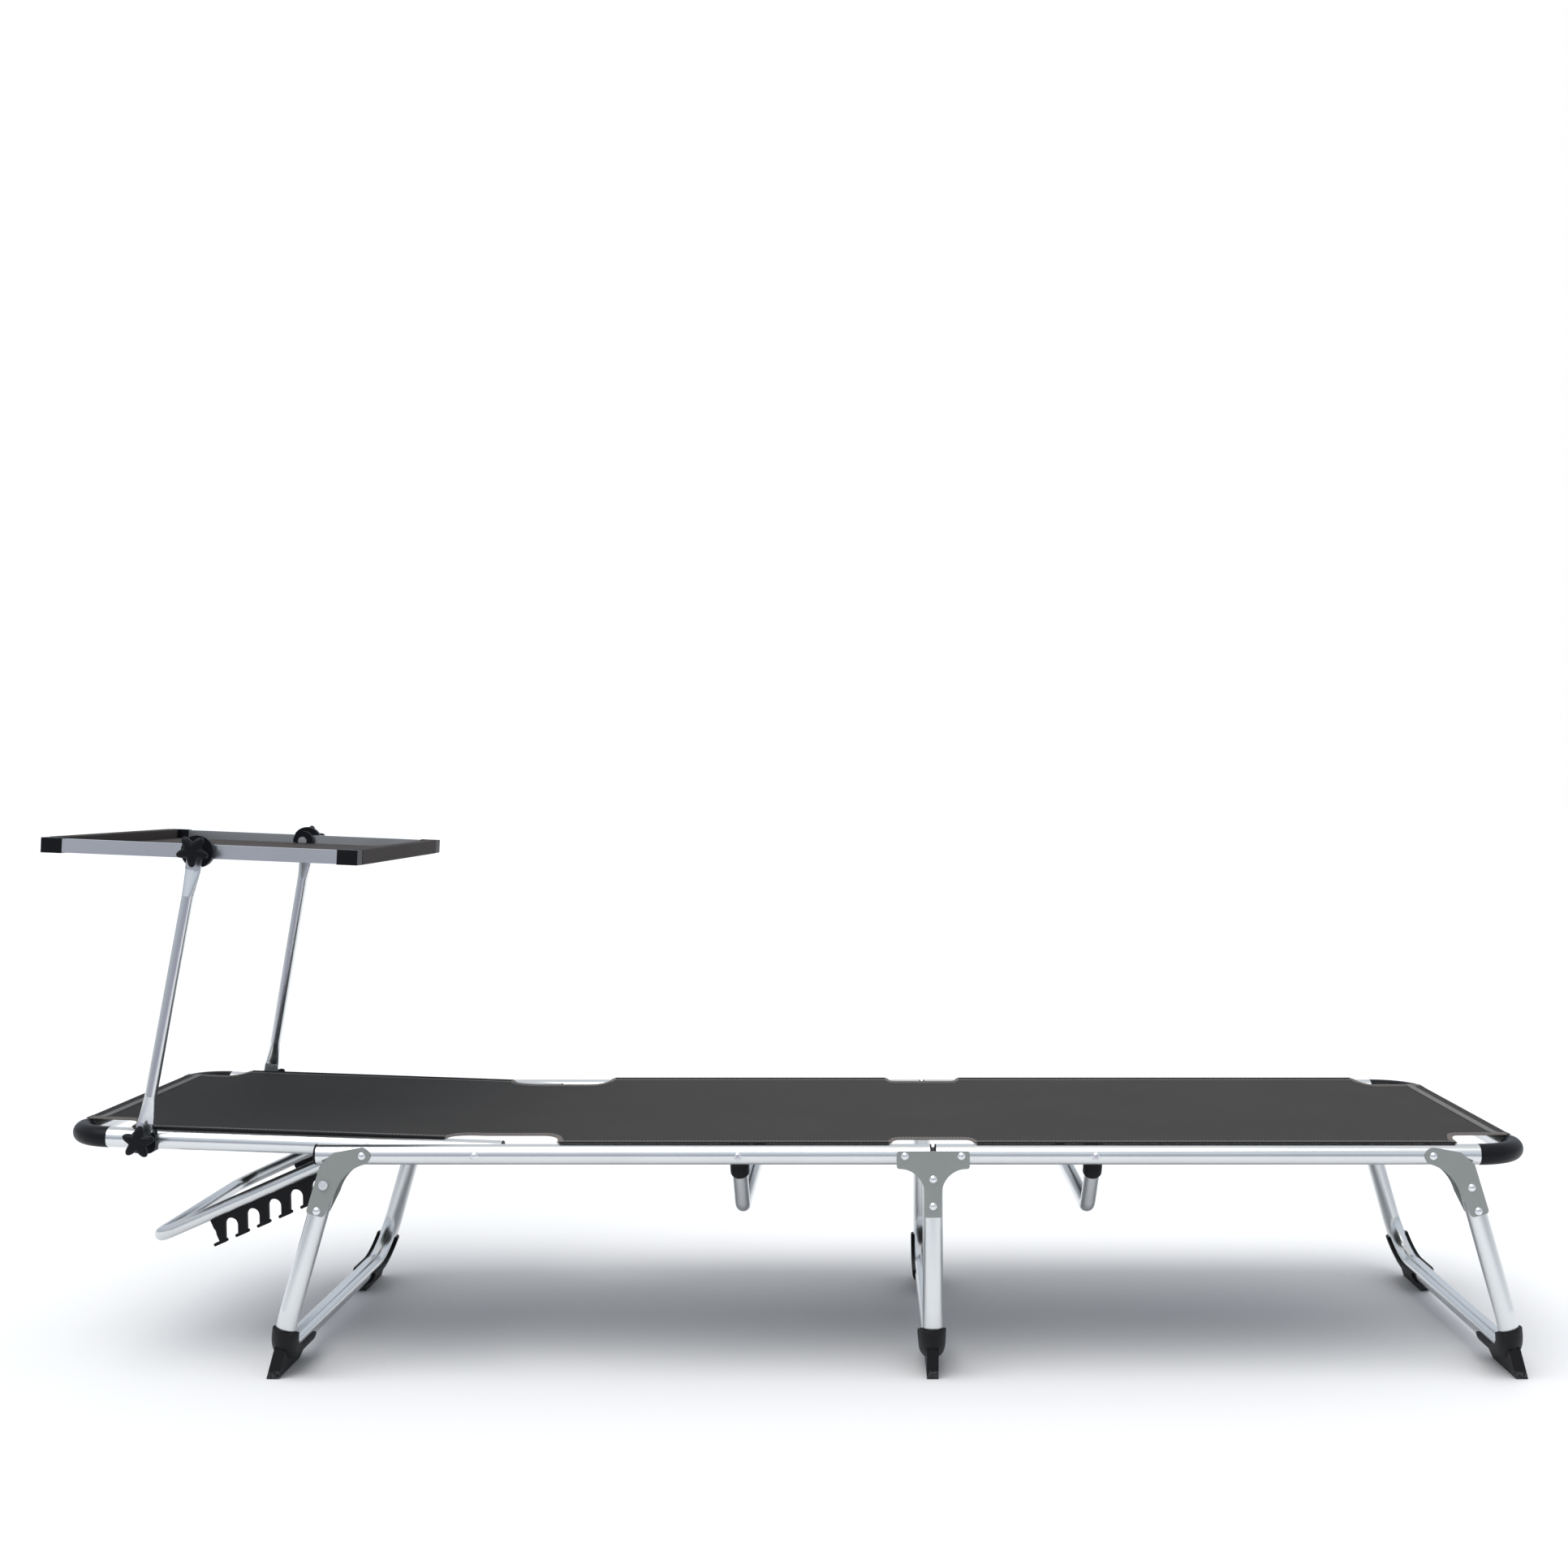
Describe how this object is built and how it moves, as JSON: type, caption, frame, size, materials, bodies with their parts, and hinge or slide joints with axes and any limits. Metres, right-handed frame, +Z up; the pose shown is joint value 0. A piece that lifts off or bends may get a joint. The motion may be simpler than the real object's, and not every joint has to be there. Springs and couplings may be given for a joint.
{
  "type": "reclining sun lounger",
  "caption": "Folding tubular sun lounger with a textile sling, a notched reclining backrest, U-shaped folding legs and a tilting sunshade held by star knobs.",
  "frame": {"origin": "middle of the bounding box at ground level", "axes": "+X along the lounger towards the foot end, +Y to its left side, +Z up; the head end and its sunshade are at -X"},
  "size_m": [1.9274, 0.5882, 0.7026],
  "materials": {
    "tube_aluminium": "satin anodised",
    "canopy_aluminium": "satin anodised profile",
    "plate_metal": "matt grey",
    "fastener_steel": "zinc plated",
    "black_plastic": "fine grained",
    "foot_plastic": "tough, satin",
    "knob_plastic": "satin",
    "sling_fabric": "open mesh of coated yarn",
    "canopy_fabric": "open mesh of coated yarn"
  },
  "bodies": {
    "base_frame": {"base_rail_left": "tube_aluminium", "base_rail_right": "tube_aluminium", "base_rail_plugs": "black_plastic", "base_cross_bar": "tube_aluminium", "base_cross_bar_cups": "black_plastic", "base_cross_bar_bolts": "fastener_steel", "base_pivot_rivets": "fastener_steel", "backrest_pivot_washers": "black_plastic", "sling_base": "sling_fabric"},
    "backrest": {"backrest_rail_left": "tube_aluminium", "backrest_rail_right": "tube_aluminium", "head_end_tube": "tube_aluminium", "head_corners": "black_plastic", "backrest_rail_plugs": "black_plastic", "prop_hinge_rivets": "fastener_steel", "prop_hinge_spacers": "black_plastic", "shade_clamps": "black_plastic", "shade_clamp_bolts": "fastener_steel", "sling_backrest": "sling_fabric"},
    "prop": {"prop_bar": "tube_aluminium", "prop_notch_plates": "black_plastic"},
    "head_leg": {"head_leg_tube": "tube_aluminium", "head_leg_plugs": "black_plastic", "head_leg_plates": "plate_metal", "head_leg_rivets": "fastener_steel", "catch_rod": "fastener_steel", "head_feet": "foot_plastic"},
    "middle_leg": {"middle_leg_tube": "tube_aluminium", "middle_leg_plugs": "black_plastic", "middle_leg_plates": "plate_metal", "middle_leg_rivets": "fastener_steel", "middle_feet": "foot_plastic", "sling_middle": "sling_fabric"},
    "foot_frame": {"foot_rail_left": "tube_aluminium", "foot_rail_right": "tube_aluminium", "foot_end_tube": "tube_aluminium", "foot_corners": "black_plastic", "foot_rail_plugs": "black_plastic", "foot_cross_bar": "tube_aluminium", "foot_cross_bar_cups": "black_plastic", "foot_cross_bar_bolts": "fastener_steel", "foot_pivot_rivets": "fastener_steel", "sling_foot": "sling_fabric"},
    "foot_leg": {"foot_leg_tube": "tube_aluminium", "foot_leg_plugs": "black_plastic", "foot_leg_plates": "plate_metal", "foot_leg_rivets": "fastener_steel", "foot_feet": "foot_plastic"},
    "shade_arms": {"shade_arm_left": "tube_aluminium", "shade_arm_right": "tube_aluminium"},
    "canopy": {"canopy_side_rails": "canopy_aluminium", "canopy_end_rails": "canopy_aluminium", "canopy_corners": "black_plastic", "canopy_fabric": "canopy_fabric", "canopy_pivot_blocks": "black_plastic", "canopy_bolts": "fastener_steel"},
    "lower_knob_left": {"lower_knob_left": "knob_plastic"},
    "lower_knob_right": {"lower_knob_right": "knob_plastic"},
    "upper_knob_left": {"upper_knob_left": "knob_plastic"},
    "upper_knob_right": {"upper_knob_right": "knob_plastic"}
  },
  "joints": [
    {"name": "backrest_recline", "type": "hinge", "parent": "base_frame", "child": "backrest", "pos_m": [-0.39328, 0, 0.29], "axis": [0, 1, 0], "range_deg": [0, 68]},
    {"name": "prop_swing", "type": "hinge", "parent": "backrest", "child": "prop", "pos_m": [-0.54069, 0, 0.29522], "axis": [0, 1, 0], "range_deg": [-82.3, 0]},
    {"name": "head_leg_fold", "type": "hinge", "parent": "base_frame", "child": "head_leg", "pos_m": [-0.53628, 0, 0.29], "axis": [0, -1, 0], "range_deg": [0, 105.9]},
    {"name": "middle_leg_fold", "type": "hinge", "parent": "base_frame", "child": "middle_leg", "pos_m": [0.15572, 0, 0.29], "axis": [0, 1, 0], "range_deg": [0, 90]},
    {"name": "foot_frame_fold", "type": "hinge", "parent": "middle_leg", "child": "foot_frame", "pos_m": [0.22772, 0, 0.29], "axis": [0, 1, 0], "range_deg": [0, 84]},
    {"name": "foot_leg_fold", "type": "hinge", "parent": "foot_frame", "child": "foot_leg", "pos_m": [0.82872, 0, 0.29], "axis": [0, 1, 0], "range_deg": [0, 105.9]},
    {"name": "shade_arm_swing", "type": "hinge", "parent": "backrest", "child": "shade_arms", "pos_m": [-0.82301, 0, 0.30523], "axis": [0, 1, 0], "range_deg": [-60, 30]},
    {"name": "canopy_tilt", "type": "hinge", "parent": "shade_arms", "child": "canopy", "pos_m": [-0.75819, 0, 0.67662], "axis": [0, -1, 0], "range_deg": [-30, 60]},
    {"name": "lower_knob_left_turn", "type": "hinge", "parent": "backrest", "child": "lower_knob_left", "pos_m": [-0.82301, 0, 0.30523], "axis": [0, 1, 0], "continuous": true},
    {"name": "lower_knob_right_turn", "type": "hinge", "parent": "backrest", "child": "lower_knob_right", "pos_m": [-0.82301, 0, 0.30523], "axis": [0, 1, 0], "continuous": true},
    {"name": "upper_knob_left_turn", "type": "hinge", "parent": "canopy", "child": "upper_knob_left", "pos_m": [-0.75819, 0, 0.67662], "axis": [0, 1, 0], "continuous": true},
    {"name": "upper_knob_right_turn", "type": "hinge", "parent": "canopy", "child": "upper_knob_right", "pos_m": [-0.75819, 0, 0.67662], "axis": [0, 1, 0], "continuous": true}
  ],
  "couplings": [
    {"joint": "prop_swing", "follows": "backrest_recline", "ratio": -1.21}
  ]
}
